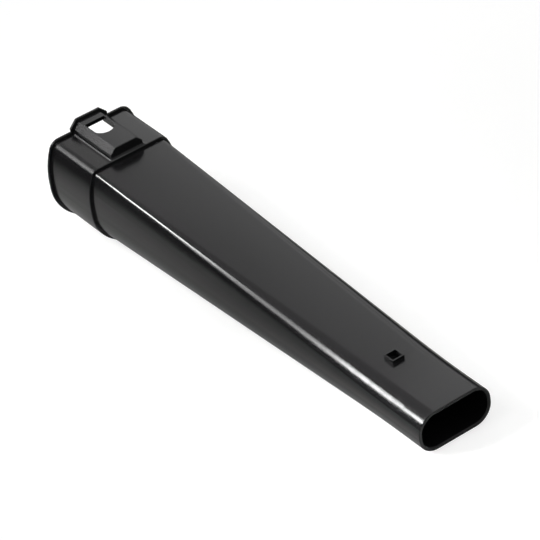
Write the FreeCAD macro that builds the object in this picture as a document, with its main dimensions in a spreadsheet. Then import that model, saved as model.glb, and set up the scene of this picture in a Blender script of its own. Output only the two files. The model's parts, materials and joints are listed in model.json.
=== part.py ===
import FreeCAD, Part
from dataclasses import dataclass
from enum import IntEnum
import math
import os

import Sketcher

# Driving sizes in millimetres. The tube runs along X from its back rim to its outlet and Z is up.
# Its axis lies where the round lower corners of the collar have their centres.
SIZES = {
    "overall_length": 420.0,
    "wall": 2.7,
    "edge_round": 0.6,
    # Socket collar that slides over the blower's outlet
    "collar_length": 52.5,
    "collar_width": 77.2,
    "collar_height": 70.8,
    "collar_straight": 6.0,
    "collar_side_radius": 62.0,
    "collar_corner": 7.0,
    "underside_flat": 6.0,
    # Lip round the back rim
    "flange_thickness": 2.0,
    "flange_lip": 2.2,
    # Tube, from the step at the collar to the straight outlet end
    "tube_step": 2.2,
    "tube_corner": 4.0,
    "outlet_length": 45.0,
    "outlet_blend": 48.0,
    "outlet_width": 58.8,
    "outlet_height": 30.6,
    "outlet_rise": 3.8,
    "outlet_corner": 13.8,
    # Raised housing over the keyway for the blower's latch button
    "latch_setback": 1.5,
    "latch_width": 27.6,
    "latch_rise": 8.5,
    "latch_chamfer": 4.6,
    "latch_roof": 3.0,
    "latch_wall": 1.4,
    "latch_foot_round": 2.4,
    # D-shaped window that the latch button snaps into
    "window_start": 10.0,
    "window_width": 16.4,
    "window_side": 13.7,
    "window_bow": 6.0,
    # Hollow square peg near the outlet
    "peg_from_outlet": 60.9,
    "peg_side": 9.5,
    "peg_height": 2.8,
    "peg_wall": 0.8,
    "peg_recess": 4.4,
}

# Largest share of the outlet's height that one rounded corner may take
CORNER_SHARE = 0.48

# A mitred 45 degree shoulder grows by this share of the distance that its outline moves
MITRE_GROWTH = 2 - math.sqrt(2)

# Parts that the round stretches of an outline are drawn in, which keeps the tapering walls' faces narrow
LEAN_PARTS = 2
CORNER_PARTS = 2
LOW_PARTS = 4

# Straight parts that the gentle curve from the taper to the outlet end is built in
BLEND_PARTS = 4


class Axis(IntEnum):
    """A sketch's own axis, as constraints number it."""

    ACROSS = -1


class At(IntEnum):
    """The point of a sketch edge that a constraint takes."""

    START = 1
    END = 2
    CENTRE = 3


# A sketch's own origin
ORIGIN = (Axis.ACROSS, At.START)

# Two lengths nearer than this are the same
NEAR = 1e-4


class Size:
    """A length, held as a number for drawing and as the expression that ties it to the sheet."""

    def __init__(self, value, text):
        self.value = value
        self.text = text

    def __add__(self, other):
        return Size(self.value + other.value, f"({self.text} + {other.text})")

    def __sub__(self, other):
        return Size(self.value - other.value, f"({self.text} - {other.text})")

    def __mul__(self, factor):
        return Size(self.value * factor, f"({self.text} * {factor})")

    def times(self, other):
        """The product of this length and another."""
        return Size(self.value * other.value, f"({self.text} * {other.text})")

    def over(self, other):
        """The ratio of this length to another."""
        return Size(self.value / other.value, f"({self.text} / {other.text})")

    def limited(self, other):
        """The smaller of this length and another."""
        return Size(min(self.value, other.value), f"min({self.text}; {other.text})")


NOTHING = Size(0.0, "0")
QUARTER = Size(math.pi / 2, "90 deg")


def size(name):
    """A driving size by its name in the sheet."""
    return Size(SIZES[name], f"Sizes.{name}")


@dataclass
class Outline:
    """A tube's outline: flat top, rounded top corners, leaning sides and a round underside."""

    half_width: Size
    top: Size
    depth: Size
    straight: Size
    side_radius: Size
    corner: Size
    low_radius: Size

    def grown(self, offset):
        """This outline moved outward by a length."""
        return Outline(self.half_width + offset, self.top + offset, self.depth + offset, self.straight,
                       self.side_radius + offset, self.corner + offset, self.low_radius + offset)

    def shrunk(self, offset):
        """This outline moved inward by a length."""
        return Outline(self.half_width - offset, self.top - offset, self.depth - offset, self.straight,
                       self.side_radius - offset, self.corner - offset, self.low_radius - offset)

    def part_way(self, other, share):
        """The outline that lies a share of the way from this one to another."""
        ends = zip(vars(self).values(), vars(other).values())
        return Outline(*(near + (far - near).times(share) for near, far in ends))

    def foot(self):
        """Height at which the straight part of the sides begins."""
        return self.low_radius - self.depth

    def lean(self):
        """Angle that the leaning side has turned by where it meets the top corner."""
        rise = self.top - self.corner - self.straight - self.foot()
        sine = rise.over(self.side_radius - self.corner)
        return Size(math.asin(sine.value), f"asin({sine.text})")


@dataclass
class LatchOutline:
    """The latch housing's outline: upright walls, chamfered shoulders and a flat roof."""

    half_width: Size
    base: Size
    top: Size
    chamfer: Size


def collar_outline():
    """The collar's outside."""
    half_width = size("collar_width") * 0.5
    low_radius = half_width - size("underside_flat") * 0.5
    top = size("collar_height") - low_radius
    return Outline(half_width, top, low_radius, size("collar_straight"), size("collar_side_radius"),
                   size("collar_corner"), low_radius)


def tube_outline():
    """The tube's outside where it leaves the collar, a step smaller and with a sharper ridge."""
    outline = collar_outline().shrunk(size("tube_step"))
    outline.corner = size("tube_corner")
    return outline


def outlet_outline():
    """The outlet's outside, flattened to a slot with large rounded corners."""
    height = size("outlet_height")
    half_height = height * 0.5
    corner = size("outlet_corner").limited(height * CORNER_SHARE)
    return Outline(size("outlet_width") * 0.5, half_height + size("outlet_rise"),
                   half_height - size("outlet_rise"), height - corner * 2, corner, corner, corner)


def housing_outline(offset):
    """The latch housing's outside moved outward by a length, rooted in the collar's wall."""
    top = collar_outline().top
    return LatchOutline(size("latch_width") * 0.5 + offset, top - size("wall") * 0.5,
                        top + size("latch_rise") + offset, size("latch_chamfer") + offset * MITRE_GROWTH)


def housing_end():
    """Station of the latch housing's front face, just short of the collar's end."""
    return size("collar_length") - size("latch_setback")


def outlet_start():
    """Station where the taper of the duct meets the straight outlet end."""
    return size("overall_length") - size("outlet_length")


def make_sheet(doc):
    """Write the driving sizes to the spreadsheet, one named cell each."""
    sheet = doc.addObject("Spreadsheet::Sheet", "Sizes")
    for row, (name, value) in enumerate(SIZES.items(), start=1):
        sheet.set(f"A{row}", name)
        sheet.set(f"B{row}", str(value))
        sheet.setAlias(f"B{row}", name)
    doc.recompute()


def add_sketch(body, name, plane_role, offset=NOTHING):
    """Attach an empty sketch to one of the body's origin planes, moved along its normal."""
    sketch = body.newObject("Sketcher::SketchObject", name)
    plane = next(item for item in body.Origin.OriginFeatures if item.Role == plane_role)
    sketch.AttachmentSupport = [(plane, "")]
    sketch.MapMode = "FlatFace"
    sketch.AttachmentOffset = FreeCAD.Placement(FreeCAD.Vector(0, 0, offset.value), FreeCAD.Rotation())
    sketch.setExpression("AttachmentOffset.Base.z", offset.text)
    return sketch


def dimension(sketch, name, length, kind, *where):
    """Add a driving dimension to a sketch and bind it to the sheet."""
    index = sketch.addConstraint(Sketcher.Constraint(kind, *where, length.value))
    sketch.renameConstraint(index, name)
    sketch.setExpression(f"Constraints.{name}", length.text)


def constrain(sketch, kind, *where):
    """Add a geometric constraint to a sketch."""
    sketch.addConstraint(Sketcher.Constraint(kind, *where))


def point(across, up):
    """A point of a sketch."""
    return FreeCAD.Vector(across, up, 0)


def line(sketch, first, second):
    """Add a straight edge to a sketch and return its number."""
    return sketch.addGeometry(Part.LineSegment(first, second))


def arc(sketch, centre, radius, first, second):
    """Add an arc to a sketch, counter-clockwise between two angles, and return its number."""
    circle = Part.Circle(centre, FreeCAD.Vector(0, 0, 1), radius)
    return sketch.addGeometry(Part.ArcOfCircle(circle, first, second))


def arc_run(sketch, name, centre, radius, first, sweep, parts):
    """Add an arc as equal parts round one centre, from an angle on, and return their numbers."""
    step = sweep * (1 / parts)
    angles = [first + step.value * number for number in range(parts + 1)]
    edges = [arc(sketch, centre, radius, *ends) for ends in zip(angles, angles[1:])]
    for number, (before, after) in enumerate(zip(edges, edges[1:])):
        constrain(sketch, "Coincident", before, At.END, after, At.START)
        constrain(sketch, "Coincident", before, At.CENTRE, after, At.CENTRE)
        dimension(sketch, f"{name}_{number}", step, "Angle", before)
    return edges


def polygon(sketch, corners):
    """Add a closed run of straight edges to a sketch and return their numbers."""
    edges = [line(sketch, first, second) for first, second in zip(corners, corners[1:] + corners[:1])]
    for before, after in zip(edges, edges[1:] + edges[:1]):
        constrain(sketch, "Coincident", before, At.END, after, At.START)
    return edges


def draw_outline(sketch, outline, lean):
    """Draw what all the tube's outlines share, and return the edges that each kind fixes itself.

    The edges run counter-clockwise from the straight part of the right side. All outlines have
    the same edges, turned by the same angles, so that walls from one to another have no twist.
    """
    wide, top, bottom = outline.half_width.value, outline.top.value, -outline.depth.value
    side, corner, low = outline.side_radius.value, outline.corner.value, outline.low_radius.value
    turned = lean.value
    half_turn = 2 * QUARTER.value
    foot = outline.foot().value
    shoulder = foot + outline.straight.value
    across = wide - side + (side - corner) * math.cos(turned)
    right = line(sketch, point(wide, foot), point(wide, shoulder))
    right_lean = arc_run(sketch, "right_lean", point(wide - side, shoulder), side, 0, lean, LEAN_PARTS)
    right_corner = arc_run(sketch, "right_corner", point(across, top - corner), corner, turned,
                           QUARTER - lean, CORNER_PARTS)
    roof = line(sketch, point(across, top), point(-across, top))
    left_corner = arc_run(sketch, "left_corner", point(-across, top - corner), corner, QUARTER.value,
                          QUARTER - lean, CORNER_PARTS)
    left_lean = arc_run(sketch, "left_lean", point(side - wide, shoulder), side, half_turn - turned,
                        lean, LEAN_PARTS)
    left = line(sketch, point(-wide, shoulder), point(-wide, foot))
    left_low = arc_run(sketch, "left_low", point(low - wide, foot), low, half_turn, QUARTER, LOW_PARTS)
    floor = line(sketch, point(low - wide, bottom), point(wide - low, bottom))
    right_low = arc_run(sketch, "right_low", point(wide - low, foot), low, half_turn + QUARTER.value,
                        QUARTER, LOW_PARTS)
    for before, after in ((right, right_lean[0]), (right_corner[-1], roof), (roof, left_corner[0]),
                          (left_lean[-1], left), (left, left_low[0]), (left_low[-1], floor),
                          (floor, right_low[0]), (right_low[-1], right)):
        constrain(sketch, "Tangent", before, At.END, after, At.START)
    for edge in (roof, floor):
        constrain(sketch, "Horizontal", edge)
    for edge in (right, left):
        constrain(sketch, "Vertical", edge)
    constrain(sketch, "Equal", right_corner[0], left_corner[0])
    constrain(sketch, "Equal", right_low[0], left_low[0])
    dimension(sketch, "corner", outline.corner, "Radius", right_corner[0])
    dimension(sketch, "low_radius", outline.low_radius, "Radius", right_low[0])
    dimension(sketch, "top", outline.top, "DistanceY", *ORIGIN, roof, At.START)
    dimension(sketch, "depth", outline.depth, "DistanceY", floor, At.START, *ORIGIN)
    dimension(sketch, "right", outline.half_width, "DistanceX", *ORIGIN, right, At.START)
    dimension(sketch, "left", outline.half_width, "DistanceX", left, At.END, *ORIGIN)
    shoulders = ((right_lean[-1], right_corner[0]), (left_corner[-1], left_lean[0]))
    return (right, left), (right_lean[-1], left_lean[-1]), shoulders


def draw_d_outline(sketch, outline):
    """Draw a D outline, whose sides lean in to small top corners."""
    straights, leans, shoulders = draw_outline(sketch, outline, outline.lean())
    for before, after in shoulders:
        constrain(sketch, "Tangent", before, At.END, after, At.START)
    constrain(sketch, "Equal", *leans)
    constrain(sketch, "Equal", *straights)
    dimension(sketch, "side_radius", outline.side_radius, "Radius", leans[0])
    right = straights[0]
    dimension(sketch, "straight", outline.straight, "DistanceY", right, At.START, right, At.END)


def draw_slot_outline(sketch, outline, lean):
    """Draw the outlet's outline, each top corner parted where a D outline's side would end."""
    _, leans, shoulders = draw_outline(sketch, outline, lean)
    for before, after in shoulders:
        constrain(sketch, "Coincident", before, At.END, after, At.START)
        constrain(sketch, "Coincident", before, At.CENTRE, after, At.CENTRE)
    last_part = lean * (1 / LEAN_PARTS)
    dimension(sketch, "right_lean_end", last_part, "Angle", leans[0])
    dimension(sketch, "left_lean_end", last_part, "Angle", leans[1])


def draw_latch_outline(sketch, outline):
    """Draw the latch housing's outline."""
    wide, base = outline.half_width.value, outline.base.value
    top, chamfer = outline.top.value, outline.chamfer.value
    narrow, shoulder = wide - chamfer, top - chamfer
    right, right_slope, roof, left_slope, left, floor = polygon(sketch, [
        point(wide, base), point(wide, shoulder), point(narrow, top),
        point(-narrow, top), point(-wide, shoulder), point(-wide, base)])
    for edge in (right, left):
        constrain(sketch, "Vertical", edge)
    for edge in (roof, floor):
        constrain(sketch, "Horizontal", edge)
    constrain(sketch, "Equal", right, left)
    dimension(sketch, "base", outline.base, "DistanceY", *ORIGIN, floor, At.START)
    dimension(sketch, "top", outline.top, "DistanceY", *ORIGIN, roof, At.START)
    dimension(sketch, "right", outline.half_width, "DistanceX", *ORIGIN, right, At.START)
    dimension(sketch, "left", outline.half_width, "DistanceX", left, At.START, *ORIGIN)
    dimension(sketch, "drop", outline.chamfer, "DistanceY", right_slope, At.START, right_slope, At.END)
    for name, slope in (("right_inset", right_slope), ("left_inset", left_slope)):
        dimension(sketch, name, outline.chamfer, "DistanceX", slope, At.END, slope, At.START)


def draw_window(sketch, start, half_width, side, bow):
    """Draw the window: straight back edge and sides, bowed front edge."""
    back_at, reach, front_at = start.value, half_width.value, start.value + side.value
    bow_radius = (half_width.times(half_width) + bow.times(bow)).over(bow * 2)
    spread = math.asin(reach / bow_radius.value)
    bow_centre = point(front_at + bow.value - bow_radius.value, 0)
    back = line(sketch, point(back_at, reach), point(back_at, -reach))
    near_side = line(sketch, point(back_at, -reach), point(front_at, -reach))
    bowed = arc(sketch, bow_centre, bow_radius.value, -spread, spread)
    far_side = line(sketch, point(front_at, reach), point(back_at, reach))
    for before, after in ((back, near_side), (near_side, bowed), (bowed, far_side), (far_side, back)):
        constrain(sketch, "Coincident", before, At.END, after, At.START)
    constrain(sketch, "Vertical", back)
    constrain(sketch, "Horizontal", near_side)
    constrain(sketch, "Horizontal", far_side)
    constrain(sketch, "PointOnObject", bowed, At.CENTRE, Axis.ACROSS)
    dimension(sketch, "start", start, "DistanceX", *ORIGIN, back, At.START)
    dimension(sketch, "far", half_width, "DistanceY", *ORIGIN, back, At.START)
    dimension(sketch, "near", half_width, "DistanceY", back, At.END, *ORIGIN)
    dimension(sketch, "side", side, "DistanceX", near_side, At.START, near_side, At.END)
    dimension(sketch, "bow_radius", bow_radius, "Radius", bowed)


def draw_square(sketch, centre, half_side):
    """Draw a square round a point of the sketch's horizontal axis."""
    reach = half_side.value
    low, high = centre.value - reach, centre.value + reach
    near, front, far, back = polygon(sketch, [point(low, -reach), point(high, -reach),
                                              point(high, reach), point(low, reach)])
    for edge in (near, far):
        constrain(sketch, "Horizontal", edge)
    for edge in (front, back):
        constrain(sketch, "Vertical", edge)
    dimension(sketch, "low", centre - half_side, "DistanceX", *ORIGIN, near, At.START)
    dimension(sketch, "high", centre + half_side, "DistanceX", *ORIGIN, near, At.END)
    dimension(sketch, "near", half_side, "DistanceY", near, At.START, *ORIGIN)
    dimension(sketch, "far", half_side, "DistanceY", *ORIGIN, far, At.START)


def pad(body, name, sketch, length):
    """Raise a solid from a sketch along the sketch's normal."""
    feature = body.newObject("PartDesign::Pad", name)
    feature.Profile = sketch
    feature.Length = length.value
    feature.setExpression("Length", length.text)


def loft(body, kind, name, first, others):
    """Join sketches in order by straight walls, adding or removing material."""
    feature = body.newObject(kind, name)
    feature.Profile = first
    feature.Sections = others
    feature.Ruled = True


def pocket(body, name, sketch, depth, along_normal):
    """Cut a sketch's outline to a depth, along its normal or against it, and see that it cuts."""
    body.Document.recompute()
    before = body.Shape.Volume
    feature = body.newObject("PartDesign::Pocket", name)
    feature.Profile = sketch
    feature.Length = depth.value
    feature.Reversed = along_normal
    feature.setExpression("Length", depth.text)
    body.Document.recompute()
    if body.Shape.Volume >= before:
        raise RuntimeError(f"{name} cuts nothing")


def picked_edges(body, wanted):
    """The body as it stands and the names of its edges that a test picks out."""
    body.Document.recompute()
    base = body.Tip
    edges = enumerate(base.Shape.Edges, start=1)
    return base, [f"Edge{number}" for number, edge in edges if wanted(edge)]


def round_edges(body, name, radius, wanted):
    """Round the edges of the body that a test picks out."""
    picked = picked_edges(body, wanted)
    feature = body.newObject("PartDesign::Fillet", name)
    feature.Base = picked
    feature.Radius = radius.value
    feature.setExpression("Radius", radius.text)


def bevel_edges(body, name, width, wanted):
    """Bevel the edges of the body that a test picks out."""
    picked = picked_edges(body, wanted)
    feature = body.newObject("PartDesign::Chamfer", name)
    feature.Base = picked
    feature.Size = width.value
    feature.setExpression("Size", width.text)


def lies_at(edge, station):
    """Whether an edge lies wholly in the plane at one station along the tube."""
    box = edge.BoundBox
    return abs(box.XMin - station) < NEAR and abs(box.XMax - station) < NEAR


def on_housing(edge):
    """Whether an edge is a corner of the latch housing that reaches its front face."""
    box = edge.BoundBox
    above = box.ZMax > collar_outline().top.value + NEAR
    return above and box.XMax > housing_end().value - NEAR


def at_housing_foot(edge):
    """Whether an edge is where the latch housing meets the collar's flat."""
    box = edge.BoundBox
    flat = collar_outline().top.value
    level = abs(box.ZMin - flat) < NEAR and abs(box.ZMax - flat) < NEAR
    inside = max(abs(box.YMin), abs(box.YMax)) < SIZES["latch_width"] / 2 + NEAR
    return level and inside and box.XMax < housing_end().value + NEAR


def at_mouth(edge):
    """Whether an edge is an inner edge of the outlet."""
    outline = outlet_outline().shrunk(size("wall"))
    ends = [vertex.Point for vertex in edge.Vertexes]
    inside = all(abs(end.y) < outline.half_width.value + NEAR and end.z < outline.top.value + NEAR
                 and end.z > -outline.depth.value - NEAR for end in ends)
    return inside and lies_at(edge, SIZES["overall_length"])


def add_flange(body):
    """Build the lip round the back rim, which also runs over the latch housing."""
    lip = size("flange_lip")
    thickness = size("flange_thickness")
    flange_section = add_sketch(body, "flange_section", "YZ_Plane")
    draw_d_outline(flange_section, collar_outline().grown(lip))
    pad(body, "flange", flange_section, thickness)

    lip_section = add_sketch(body, "housing_lip_section", "YZ_Plane")
    draw_latch_outline(lip_section, housing_outline(lip))
    pad(body, "housing_lip", lip_section, thickness)
    round_edges(body, "flange_round", size("edge_round"),
                lambda edge: lies_at(edge, 0) or lies_at(edge, thickness.value))


def add_collar(body):
    """Build the socket collar and the latch housing on its flat."""
    collar_section = add_sketch(body, "collar_section", "YZ_Plane")
    draw_d_outline(collar_section, collar_outline())
    pad(body, "collar", collar_section, size("collar_length"))
    round_edges(body, "collar_round", size("edge_round"),
                lambda edge: lies_at(edge, SIZES["collar_length"]))

    housing_section = add_sketch(body, "housing_section", "YZ_Plane")
    draw_latch_outline(housing_section, housing_outline(NOTHING))
    pad(body, "housing", housing_section, housing_end())
    round_edges(body, "housing_round", size("edge_round"), on_housing)
    round_edges(body, "housing_foot", size("latch_foot_round"), at_housing_foot)


def add_tube(body):
    """Build the tapering tube, which curves gently into its straight outlet end."""
    wide_end, flat_end = tube_outline(), outlet_outline()
    tube_section = add_sketch(body, "tube_section", "YZ_Plane", size("collar_length"))
    draw_d_outline(tube_section, wide_end)
    run = outlet_start() - size("collar_length")
    blend = size("outlet_blend")
    blend_end = outlet_start() + blend * 0.5
    sections = []
    for number in range(BLEND_PARTS):
        ahead = blend * (1 - number / BLEND_PARTS)
        section = add_sketch(body, f"blend_section_{number}", "YZ_Plane", blend_end - ahead)
        share = ahead.times(ahead).over(blend.times(run) * 2)
        draw_d_outline(section, flat_end.part_way(wide_end, share))
        sections.append(section)
    outlet_section = add_sketch(body, "outlet_section", "YZ_Plane", blend_end)
    draw_slot_outline(outlet_section, flat_end, wide_end.lean())
    loft(body, "PartDesign::AdditiveLoft", "tube", tube_section, sections + [outlet_section])
    pad(body, "outlet_end", outlet_section, size("outlet_length") - blend * 0.5)
    round_edges(body, "outlet_round", size("edge_round"),
                lambda edge: lies_at(edge, SIZES["overall_length"]))


def peg_ground():
    """Height of the tube's flat top where the peg stands."""
    tube_top = tube_outline().top
    outlet_top = outlet_outline().top
    run = outlet_start() - size("collar_length")
    back = size("peg_from_outlet") - size("outlet_length")
    return outlet_top + (tube_top - outlet_top).times(back.over(run))


def add_peg(body):
    """Build the hollow square peg that an attachment clips over."""
    centre = size("overall_length") - size("peg_from_outlet")
    half_side = size("peg_side") * 0.5
    root = size("wall") * 0.5
    peg_section = add_sketch(body, "peg_section", "XY_Plane", peg_ground() - root)
    draw_square(peg_section, centre, half_side)
    pad(body, "peg", peg_section, size("peg_height") + root)

    recess_section = add_sketch(body, "peg_recess_section", "XY_Plane", peg_ground() + size("peg_height"))
    draw_square(recess_section, centre, half_side - size("peg_wall"))
    pocket(body, "peg_recess", recess_section, size("peg_recess"), along_normal=False)


def cut_bore(body):
    """Hollow the part: socket with its stop shoulder, tapering duct and outlet."""
    wall = size("wall")
    shoulder = size("collar_length") - wall
    socket_section = add_sketch(body, "socket_section", "YZ_Plane")
    draw_d_outline(socket_section, collar_outline().shrunk(wall))
    pocket(body, "socket", socket_section, shoulder, along_normal=True)

    duct_outline = tube_outline().shrunk(wall)
    duct_section = add_sketch(body, "duct_section", "YZ_Plane", shoulder)
    draw_d_outline(duct_section, duct_outline)
    mouth_section = add_sketch(body, "mouth_section", "YZ_Plane", outlet_start())
    draw_slot_outline(mouth_section, outlet_outline().shrunk(wall), duct_outline.lean())
    loft(body, "PartDesign::SubtractiveLoft", "duct", duct_section, [mouth_section])
    pocket(body, "mouth", mouth_section, size("outlet_length"), along_normal=True)
    bevel_edges(body, "mouth_bevel", size("edge_round"), at_mouth)


def cut_keyway(body):
    """Cut the latch button's channel, open at the back rim, and the window above it."""
    wall = size("wall")
    roof = size("latch_roof")
    thin_wall = size("latch_wall")
    outside = housing_outline(NOTHING)
    chamfer = outside.chamfer - thin_wall * MITRE_GROWTH + (thin_wall - roof)
    channel = LatchOutline(outside.half_width - thin_wall, collar_outline().top - wall * 2,
                           outside.top - roof, chamfer)
    keyway_section = add_sketch(body, "keyway_section", "YZ_Plane")
    draw_latch_outline(keyway_section, channel)
    pocket(body, "keyway", keyway_section, housing_end() - wall, along_normal=True)

    window_section = add_sketch(body, "window_section", "XY_Plane", outside.top)
    draw_window(window_section, size("window_start"), size("window_width") * 0.5,
                size("window_side"), size("window_bow"))
    pocket(body, "window", window_section, roof + wall, along_normal=False)


def lay_down(body):
    """Lay the part at rest on its collar or flange and on the outlet's lower edge.

    The rounded edges that touch the floor all have the same radius, so the tilt is the slope
    between the centres of their rounds. The part is centred over the origin.
    """
    collar, flat_end = collar_outline(), outlet_outline()
    rim = collar.low_radius + size("flange_lip")
    length, bend = size("overall_length"), size("edge_round")
    flange_slope = (rim - flat_end.depth).over(length - size("flange_thickness"))
    collar_slope = (collar.low_radius - flat_end.depth).over(length - size("collar_length"))
    tilt = f"atan(max({flange_slope.text}; {collar_slope.text}))"
    low, high, far = (rim - bend).text, (flat_end.top - bend).text, (length - bend).text
    foot = (flat_end.depth - bend).text
    back = f"{bend.text} * cos({tilt}) - {low} * sin({tilt}) - {bend.text}"
    front = f"{far} * cos({tilt}) + {high} * sin({tilt}) + {bend.text}"
    drop = f"{bend.text} + {far} * sin({tilt}) + {foot} * cos({tilt})"
    body.Placement = FreeCAD.Placement(FreeCAD.Vector(), FreeCAD.Rotation(FreeCAD.Vector(0, 1, 0), 1))
    body.setExpression("Placement.Rotation.Angle", tilt)
    body.setExpression("Placement.Base.x", f"-({back} + {front}) / 2")
    body.setExpression("Placement.Base.z", drop)


def check(doc, body):
    """Stop if any object failed or the part is not one sound solid."""
    failed = [item.Label for item in doc.Objects if {"Invalid", "Error"} & set(item.State)]
    if failed:
        raise RuntimeError(f"failed: {failed}")
    if body.Shape.isNull() or not body.Shape.isValid() or len(body.Shape.Solids) != 1:
        raise RuntimeError("the part is not one sound solid")


def main():
    """Build the tube and write it out."""
    doc = FreeCAD.newDocument("nozzle")
    make_sheet(doc)
    body = doc.addObject("PartDesign::Body", "nozzle_tube")
    body.Label = "nozzle_tube"
    add_flange(body)
    add_collar(body)
    add_tube(body)
    add_peg(body)
    cut_bore(body)
    cut_keyway(body)
    lay_down(body)
    doc.recompute()
    check(doc, body)
    os.makedirs("parts", exist_ok=True)
    body.Shape.exportStep(f"parts/{body.Label}.step")


main()
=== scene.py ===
"""Looks of a leaf blower nozzle tube: moulded black plastic on a pale studio floor."""

import json
import logging
import math
from dataclasses import dataclass, field

import bpy
from mathutils import Matrix, Vector

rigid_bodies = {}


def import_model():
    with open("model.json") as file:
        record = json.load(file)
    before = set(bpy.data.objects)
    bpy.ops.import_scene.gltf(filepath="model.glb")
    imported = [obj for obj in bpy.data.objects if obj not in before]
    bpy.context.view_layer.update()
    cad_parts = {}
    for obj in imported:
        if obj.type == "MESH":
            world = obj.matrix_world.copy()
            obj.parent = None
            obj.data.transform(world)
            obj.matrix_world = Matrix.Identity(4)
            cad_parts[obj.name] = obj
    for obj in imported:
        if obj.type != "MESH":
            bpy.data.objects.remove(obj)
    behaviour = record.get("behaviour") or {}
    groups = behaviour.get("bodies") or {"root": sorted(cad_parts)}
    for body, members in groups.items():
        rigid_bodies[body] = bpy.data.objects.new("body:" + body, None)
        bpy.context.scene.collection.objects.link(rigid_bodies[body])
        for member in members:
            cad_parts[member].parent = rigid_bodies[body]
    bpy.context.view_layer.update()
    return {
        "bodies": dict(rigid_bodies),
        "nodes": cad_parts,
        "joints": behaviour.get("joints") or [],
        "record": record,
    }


LOG = logging.getLogger("nozzle_tube")
MM = 0.001
WHITE = (1.0, 1.0, 1.0, 1.0)

# The sRGB curve: a straight foot near black, then a power.
FOOT_END = 0.04045
FOOT_SLOPE = 12.92
CURVE_OFFSET = 0.055
CURVE_POWER = 2.4

# The Mix node has sockets of the same name for each kind of value, so they are told apart by number.
FACTOR = 0
FIRST_NUMBER, SECOND_NUMBER, MIXED_NUMBER = 2, 3, 0
FIRST_COLOUR, SECOND_COLOUR, MIXED_COLOUR = 6, 7, 2

# An area lamp without a grid shines over the whole half space in front of it.
FULL_SPREAD_DEG = 180.0


def linear(colour: str) -> tuple[float, float, float, float]:
    """Turn an sRGB hex colour into the linear values that shaders take.

    Args:
        colour: Six hex digits after a hash.

    Returns:
        Red, green, blue and full alpha.
    """
    parts = [int(colour[at:at + 2], 16) / 255 for at in (1, 3, 5)]
    red, green, blue = (part / FOOT_SLOPE if part <= FOOT_END
                        else ((part + CURVE_OFFSET) / (1 + CURVE_OFFSET)) ** CURVE_POWER
                        for part in parts)
    return red, green, blue, 1.0


def fresh_tree(owner: bpy.types.Material | bpy.types.World) -> bpy.types.NodeTree:
    """Turn on the nodes of a material or the world, and clear the ones that it starts with.

    Args:
        owner: The material or world.

    Returns:
        Its empty node tree.
    """
    owner.use_nodes = True
    owner.node_tree.nodes.clear()
    return owner.node_tree


def add_node(tree: bpy.types.NodeTree, kind: str, settings: dict | None = None,
             links: dict | None = None) -> bpy.types.Node:
    """Add a node with its settings and links.

    Args:
        tree: Node tree that takes the node.
        kind: Blender's name for the kind of node.
        settings: Attributes by name, and values of inputs by name or number.
        links: Sockets that feed the node's inputs, by the input's name or number.

    Returns:
        The new node.
    """
    node = tree.nodes.new(kind)
    for name, value in (settings or {}).items():
        if isinstance(name, str) and hasattr(node, name):
            setattr(node, name, value)
        else:
            node.inputs[name].default_value = value
    for name, socket in (links or {}).items():
        tree.links.new(socket, node.inputs[name])
    return node


def direction(azimuth_deg: float, elevation_deg: float) -> Vector:
    """Work out a direction from its angles.

    Args:
        azimuth_deg: Angle round the tube, from the outlet's +X towards +Y.
        elevation_deg: Angle above the floor.

    Returns:
        The direction, of length 1.
    """
    turn = math.radians(azimuth_deg)
    rise = math.radians(elevation_deg)
    return Vector((math.cos(turn) * math.cos(rise), math.sin(turn) * math.cos(rise), math.sin(rise)))


def roll_by(angle_deg: float) -> Matrix:
    """Give the turn of a lamp or camera about its own line of sight."""
    return Matrix.Rotation(math.radians(angle_deg), 4, "Z")


def show(name: str, data: bpy.types.ID) -> bpy.types.Object:
    """Put a mesh, lamp or camera into the scene.

    Args:
        name: Name of the new object.
        data: What the object shows.

    Returns:
        The new object.
    """
    shown = bpy.data.objects.new(name, data)
    bpy.context.scene.collection.objects.link(shown)
    return shown


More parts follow.
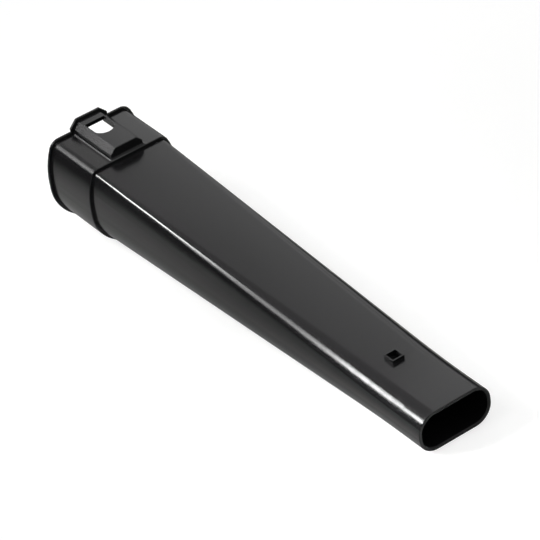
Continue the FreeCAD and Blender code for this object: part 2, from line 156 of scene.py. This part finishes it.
@dataclass(frozen=True)
class MouldedPolypropylene:
    """Black polypropylene from a steel mould with a fine spark-eroded grain.

    The eye sees a deep neutral black with a satin sheen. The grain breaks up the edges of
    reflections, the melt's flow along the tube varies the sheen a little, and handling leaves
    faint lengthwise scuffs and rubbed edges.
    """

    colour: str = "#0b0b0c"
    pale_colour: str = "#141415"
    scuffed_colour: str = "#222223"
    ior: float = 1.5
    roughness: float = 0.2
    roughness_spread: float = 0.02
    scuffed_roughness: float = 0.27
    # Spark erosion leaves a grain of about 0.1 mm. It is drawn coarser, because that would not show.
    grain_mm: float = 0.7
    grain_depth_mm: float = 0.008
    grain_strength: float = 0.3
    grain_detail: float = 2.0
    grain_harshness: float = 0.6
    # The melt's flow and the scuffs share one drawn-out noise, at sizes of their own.
    drawn_detail: float = 3.0
    drawn_harshness: float = 0.55
    flow_length_mm: float = 130.0
    flow_width_mm: float = 34.0
    flow_range: tuple[float, float] = (0.3, 0.7)
    # A real scuff is a few tenths of a millimetre wide, and is drawn wider so that it shows.
    scuff_length_mm: float = 26.0
    scuff_width_mm: float = 0.8
    scuff_range: tuple[float, float] = (0.58, 0.72)
    scuff_strength: float = 0.3
    scuff_patch_mm: float = 48.0
    patch_range: tuple[float, float] = (0.45, 0.65)
    # The range is of the cosine between the plain normal and the one softened across an edge.
    edge_mm: float = 0.7
    edge_samples: int = 4
    edge_range: tuple[float, float] = (0.99, 0.85)
    edge_strength: float = 0.35

    def make(self) -> bpy.types.Material:
        """Build the material.

        Returns:
            The finished material.
        """
        material = bpy.data.materials.new("moulded_black_polypropylene")
        tree = fresh_tree(material)
        place = add_node(tree, "ShaderNodeTexCoord").outputs["Object"]
        flow = self.drawn_out(tree, place, self.flow_length_mm, self.flow_width_mm)
        grain = add_node(tree, "ShaderNodeTexNoise",
                         {"Scale": 1 / (self.grain_mm * MM), "Detail": self.grain_detail,
                          "Roughness": self.grain_harshness},
                         {"Vector": place})
        worn = self.wear(tree, place)
        moulded = add_node(tree, "ShaderNodeMix",
                           {"data_type": "RGBA", FIRST_COLOUR: linear(self.colour),
                            SECOND_COLOUR: linear(self.pale_colour)},
                           {FACTOR: flow})
        tint = add_node(tree, "ShaderNodeMix",
                        {"data_type": "RGBA", SECOND_COLOUR: linear(self.scuffed_colour)},
                        {FACTOR: worn, FIRST_COLOUR: moulded.outputs[MIXED_COLOUR]})
        sheen = add_node(tree, "ShaderNodeMapRange",
                         {"From Min": self.flow_range[0], "From Max": self.flow_range[1],
                          "To Min": self.roughness - self.roughness_spread,
                          "To Max": self.roughness + self.roughness_spread},
                         {"Value": flow})
        gloss = add_node(tree, "ShaderNodeMix",
                         {"data_type": "FLOAT", SECOND_NUMBER: self.scuffed_roughness},
                         {FACTOR: worn, FIRST_NUMBER: sheen.outputs["Result"]})
        bump = add_node(tree, "ShaderNodeBump",
                        {"Strength": self.grain_strength, "Distance": self.grain_depth_mm * MM},
                        {"Height": grain.outputs["Fac"]})
        shader = add_node(tree, "ShaderNodeBsdfPrincipled", {"IOR": self.ior},
                          {"Base Color": tint.outputs[MIXED_COLOUR],
                           "Roughness": gloss.outputs[MIXED_NUMBER],
                           "Normal": bump.outputs["Normal"]})
        add_node(tree, "ShaderNodeOutputMaterial", links={"Surface": shader.outputs["BSDF"]})
        return material

    def drawn_out(self, tree: bpy.types.NodeTree, place: bpy.types.NodeSocket, length_mm: float,
                  width_mm: float) -> bpy.types.NodeSocket:
        """Add a noise that is drawn out along the tube.

        Args:
            tree: The material's node tree.
            place: Position on the object, in metres.
            length_mm: Size of the pattern along the tube.
            width_mm: Size of the pattern across the tube.

        Returns:
            The noise's value.
        """
        scale = (1 / (length_mm * MM), 1 / (width_mm * MM), 1 / (width_mm * MM))
        drawn = add_node(tree, "ShaderNodeVectorMath", {"operation": "MULTIPLY", 1: scale}, {0: place})
        noise = add_node(tree, "ShaderNodeTexNoise",
                         {"Scale": 1.0, "Detail": self.drawn_detail, "Roughness": self.drawn_harshness},
                         {"Vector": drawn.outputs["Vector"]})
        return noise.outputs["Fac"]

    def wear(self, tree: bpy.types.NodeTree, place: bpy.types.NodeSocket) -> bpy.types.NodeSocket:
        """Add the wear: patches of fine lengthwise scuffs, and rubbed edges.

        Args:
            tree: The material's node tree.
            place: Position on the object, in metres.

        Returns:
            How worn the surface is, from 0 to 1.
        """
        scratches = self.drawn_out(tree, place, self.scuff_length_mm, self.scuff_width_mm)
        fine = add_node(tree, "ShaderNodeMapRange",
                        {"From Min": self.scuff_range[0], "From Max": self.scuff_range[1],
                         "To Max": self.scuff_strength},
                        {"Value": scratches})
        patches = add_node(tree, "ShaderNodeTexNoise", {"Scale": 1 / (self.scuff_patch_mm * MM)},
                           {"Vector": place})
        gate = add_node(tree, "ShaderNodeMapRange",
                        {"From Min": self.patch_range[0], "From Max": self.patch_range[1]},
                        {"Value": patches.outputs["Fac"]})
        scuffs = add_node(tree, "ShaderNodeMath", {"operation": "MULTIPLY"},
                          {0: fine.outputs["Result"], 1: gate.outputs["Result"]})
        softened = add_node(tree, "ShaderNodeBevel",
                            {"samples": self.edge_samples, "Radius": self.edge_mm * MM})
        facing = add_node(tree, "ShaderNodeNewGeometry")
        level = add_node(tree, "ShaderNodeVectorMath", {"operation": "DOT_PRODUCT"},
                         {0: softened.outputs["Normal"], 1: facing.outputs["Normal"]})
        edges = add_node(tree, "ShaderNodeMapRange",
                         {"From Min": self.edge_range[0], "From Max": self.edge_range[1],
                          "To Max": self.edge_strength},
                         {"Value": level.outputs["Value"]})
        rubbed = add_node(tree, "ShaderNodeMath", {"operation": "MULTIPLY"},
                          {0: edges.outputs["Result"], 1: patches.outputs["Fac"]})
        worn = add_node(tree, "ShaderNodeMath", {"operation": "MAXIMUM"},
                        {0: scuffs.outputs["Value"], 1: rubbed.outputs["Value"]})
        return worn.outputs["Value"]


@dataclass
class NozzleTube:
    """The tube, one moulded piece."""

    node: str = "nozzle_tube"
    finish: MouldedPolypropylene = field(default_factory=MouldedPolypropylene)

    def dress(self, frame: dict) -> None:
        """Give the tube its finish.

        Args:
            frame: The loaded frame.
        """
        piece = frame["nodes"][self.node]
        piece.data.materials.clear()
        piece.data.materials.append(self.finish.make())


@dataclass(frozen=True)
class Softbox:
    """A rectangular studio lamp that faces a point of the tube or the floor, with or without a grid."""

    name: str
    aim_m: tuple[float, float, float]
    azimuth_deg: float
    elevation_deg: float
    distance_m: float
    width_m: float
    height_m: float
    radiance: float
    spread_deg: float = FULL_SPREAD_DEG
    roll_deg: float = 0.0

    def place(self) -> None:
        """Hang the lamp, its width along the tube."""
        lamp = bpy.data.lights.new(self.name, "AREA")
        lamp.shape = "RECTANGLE"
        lamp.size = self.width_m
        lamp.size_y = self.height_m
        lamp.spread = math.radians(self.spread_deg)
        # A grid gathers the light ahead. That gain is taken off, so that the tube faces the radiance given.
        half = lamp.spread / 2
        gathered = 1 - half / math.tan(half) if self.spread_deg < FULL_SPREAD_DEG else 1.0
        lamp.energy = self.radiance * math.pi * self.width_m * self.height_m * gathered
        away = direction(self.azimuth_deg, self.elevation_deg)
        across = Vector((1.0, 0.0, 0.0)).cross(away).normalized()
        turned = Matrix((across.cross(away), across, away)).transposed().to_4x4()
        spot = Matrix.Translation(Vector(self.aim_m) + away * self.distance_m)
        show(self.name, lamp).matrix_world = spot @ turned @ roll_by(self.roll_deg)


@dataclass
class Studio:
    """Pale floor, white surround and soft lamps."""

    floor_radius_m: float = 0.8
    floor_sides: int = 96
    fade_start_m: float = 0.26
    fade_end_m: float = 0.62
    floor_colour: str = "#aeaead"
    floor_glow: float = 0.7
    # The sky's strength at the horizon and above, and the height on the unit sphere where it levels off.
    sky_low: float = 0.06
    sky_high: float = 0.1
    sky_rise: float = 0.7
    # The extra strength of the outlet's half of the sky, and how far on the unit sphere the halves blend.
    sky_front: float = 0.34
    sky_blend: float = 0.35
    lamps: tuple[Softbox, ...] = (
        # Four strips for the highlight on the left ridge, and a panel for the latch housing's chamfer.
        Softbox("collar_strip", aim_m=(-0.18, 0.0, 0.042), azimuth_deg=208.0, elevation_deg=40.0,
                distance_m=0.8, width_m=0.12, height_m=0.34, radiance=3.2),
        Softbox("rear_strip", aim_m=(-0.125, -0.031, 0.073), azimuth_deg=220.8, elevation_deg=37.9,
                distance_m=0.8, width_m=0.09, height_m=0.19, radiance=70.0, spread_deg=22.0),
        Softbox("latch_panel", aim_m=(-0.15, -0.012, 0.08), azimuth_deg=217.3, elevation_deg=25.7,
                distance_m=0.8, width_m=0.09, height_m=0.14, radiance=2.3, spread_deg=70.0),
        Softbox("middle_strip", aim_m=(0.03, -0.028, 0.055), azimuth_deg=227.0, elevation_deg=33.0,
                distance_m=0.8, width_m=0.24, height_m=0.22, radiance=4.2, spread_deg=60.0),
        Softbox("outlet_strip", aim_m=(0.244, -0.025, 0.03), azimuth_deg=230.6, elevation_deg=34.0,
                distance_m=0.727, width_m=0.17, height_m=0.15, radiance=122.0, spread_deg=36.0),
        # Two pools of light on the floor, which the left side mirrors.
        Softbox("rear_pool", aim_m=(-0.28, -0.2, 0.0), azimuth_deg=262.0, elevation_deg=62.0,
                distance_m=0.8, width_m=0.3, height_m=0.3, radiance=28.0, spread_deg=56.0),
        Softbox("outlet_pool", aim_m=(0.2, -0.09, 0.0), azimuth_deg=262.0, elevation_deg=62.0,
                distance_m=0.7, width_m=0.2, height_m=0.2, radiance=18.0, spread_deg=34.0),
        # Two panels for the grey of the top, which is paler to the right, and one that lights from above.
        Softbox("overhead_panel", aim_m=(0.0, 0.0, 0.042), azimuth_deg=180.0, elevation_deg=52.0,
                distance_m=3.0, width_m=2.0, height_m=4.2, radiance=0.45),
        Softbox("right_panel", aim_m=(0.0, 0.0, 0.042), azimuth_deg=131.0, elevation_deg=29.5,
                distance_m=0.84, width_m=0.8, height_m=0.52, radiance=0.82, roll_deg=-10.0),
        Softbox("top_panel", aim_m=(0.0, 0.0, 0.042), azimuth_deg=42.0, elevation_deg=75.0,
                distance_m=1.6, width_m=1.2, height_m=0.8, radiance=1.2),
    )

    def build(self) -> None:
        """Build the floor, the surround and the lamps."""
        self.lay_floor()
        self.light_surround()
        for lamp in self.lamps:
            lamp.place()

    def lay_floor(self) -> None:
        """Lay the floor, a round of matt pale board that the camera sees white with a faint shadow."""
        turns = [math.tau * step / self.floor_sides for step in range(self.floor_sides)]
        ring = [(self.floor_radius_m * math.cos(turn), self.floor_radius_m * math.sin(turn), 0.0)
                for turn in turns]
        mesh = bpy.data.meshes.new("floor")
        mesh.from_pydata(ring, [], [list(range(self.floor_sides))])
        floor = show("floor", mesh)
        material = bpy.data.materials.new("matt_pale_floor")
        tree = fresh_tree(material)
        seen = add_node(tree, "ShaderNodeLightPath").outputs["Is Camera Ray"]
        matt = add_node(tree, "ShaderNodeBsdfDiffuse", {"Color": linear(self.floor_colour)})
        glow = add_node(tree, "ShaderNodeMath", {"operation": "MULTIPLY", 1: self.floor_glow}, {0: seen})
        white = add_node(tree, "ShaderNodeEmission", {"Color": WHITE}, {"Strength": glow.outputs["Value"]})
        added = add_node(tree, "ShaderNodeAddShader", links={0: matt.outputs[0], 1: white.outputs[0]})
        # The rim fades to the surround's white, so that the floor shows no edge.
        place = add_node(tree, "ShaderNodeTexCoord").outputs["Object"]
        reach = add_node(tree, "ShaderNodeVectorMath", {"operation": "LENGTH"}, {0: place})
        rim = add_node(tree, "ShaderNodeMapRange",
                       {"interpolation_type": "SMOOTHSTEP", "From Min": self.fade_start_m,
                        "From Max": self.fade_end_m},
                       {"Value": reach.outputs["Value"]})
        blank = add_node(tree, "ShaderNodeEmission", {"Color": WHITE}, {"Strength": seen})
        faded = add_node(tree, "ShaderNodeMixShader",
                         links={0: rim.outputs["Result"], 1: added.outputs[0], 2: blank.outputs[0]})
        add_node(tree, "ShaderNodeOutputMaterial", links={"Surface": faded.outputs[0]})
        mesh.materials.append(material)

    def light_surround(self) -> None:
        """Make the surround white to the camera, and a soft sky for the object."""
        world = bpy.data.worlds.new("studio_surround")
        bpy.context.scene.world = world
        tree = fresh_tree(world)
        seen = add_node(tree, "ShaderNodeLightPath").outputs["Is Camera Ray"]
        place = add_node(tree, "ShaderNodeTexCoord").outputs["Generated"]
        split = add_node(tree, "ShaderNodeSeparateXYZ", links={0: place})
        sky = add_node(tree, "ShaderNodeMapRange",
                       {"interpolation_type": "SMOOTHSTEP", "From Max": self.sky_rise,
                        "To Min": self.sky_low, "To Max": self.sky_high},
                       {"Value": split.outputs["Z"]})
        # The outlet's half is brighter, because from the photograph's angle the top mirrors the other half.
        front = add_node(tree, "ShaderNodeMapRange",
                         {"interpolation_type": "SMOOTHSTEP", "From Min": -self.sky_blend,
                          "From Max": self.sky_blend, "To Max": self.sky_front},
                         {"Value": split.outputs["X"]})
        level = add_node(tree, "ShaderNodeMath", {"operation": "ADD"},
                         {0: sky.outputs["Result"], 1: front.outputs["Result"]})
        soft = add_node(tree, "ShaderNodeBackground", {"Color": WHITE},
                        {"Strength": level.outputs["Value"]})
        white = add_node(tree, "ShaderNodeBackground", {"Color": WHITE, "Strength": 1.0})
        mixed = add_node(tree, "ShaderNodeMixShader",
                         links={0: seen, 1: soft.outputs[0], 2: white.outputs[0]})
        add_node(tree, "ShaderNodeOutputWorld", links={"Surface": mixed.outputs[0]})


@dataclass(frozen=True)
class Viewpoint:
    """The camera, at the photograph's viewing angle."""

    azimuth_deg: float = -29.592
    elevation_deg: float = 32.789
    roll_deg: float = -11.291
    distance_m: float = 2.17039
    target_m: tuple[float, float, float] = (-0.01276, 0.01462, 0.02442)
    lens_mm: float = 209.44
    sensor_mm: float = 36.0

    def place(self) -> None:
        """Set up the camera."""
        camera = bpy.data.cameras.new("camera")
        camera.sensor_width = self.sensor_mm
        camera.lens = self.lens_mm
        back = direction(self.azimuth_deg, self.elevation_deg)
        facing = back.to_track_quat("Z", "Y").to_matrix().to_4x4()
        spot = Matrix.Translation(Vector(self.target_m) + back * self.distance_m)
        shown = show("camera", camera)
        shown.matrix_world = spot @ facing @ roll_by(self.roll_deg)
        bpy.context.scene.camera = shown


def main() -> None:
    """Build the scene."""
    logging.basicConfig(level=logging.INFO)
    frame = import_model()
    tube = NozzleTube()
    tube.dress(frame)
    LOG.info("dressed %s", tube.node)
    Studio().build()
    LOG.info("built the studio")
    Viewpoint().place()
    LOG.info("placed the camera")
    bpy.context.scene.view_settings.view_transform = "Standard"


if __name__ == "__main__":
    main()
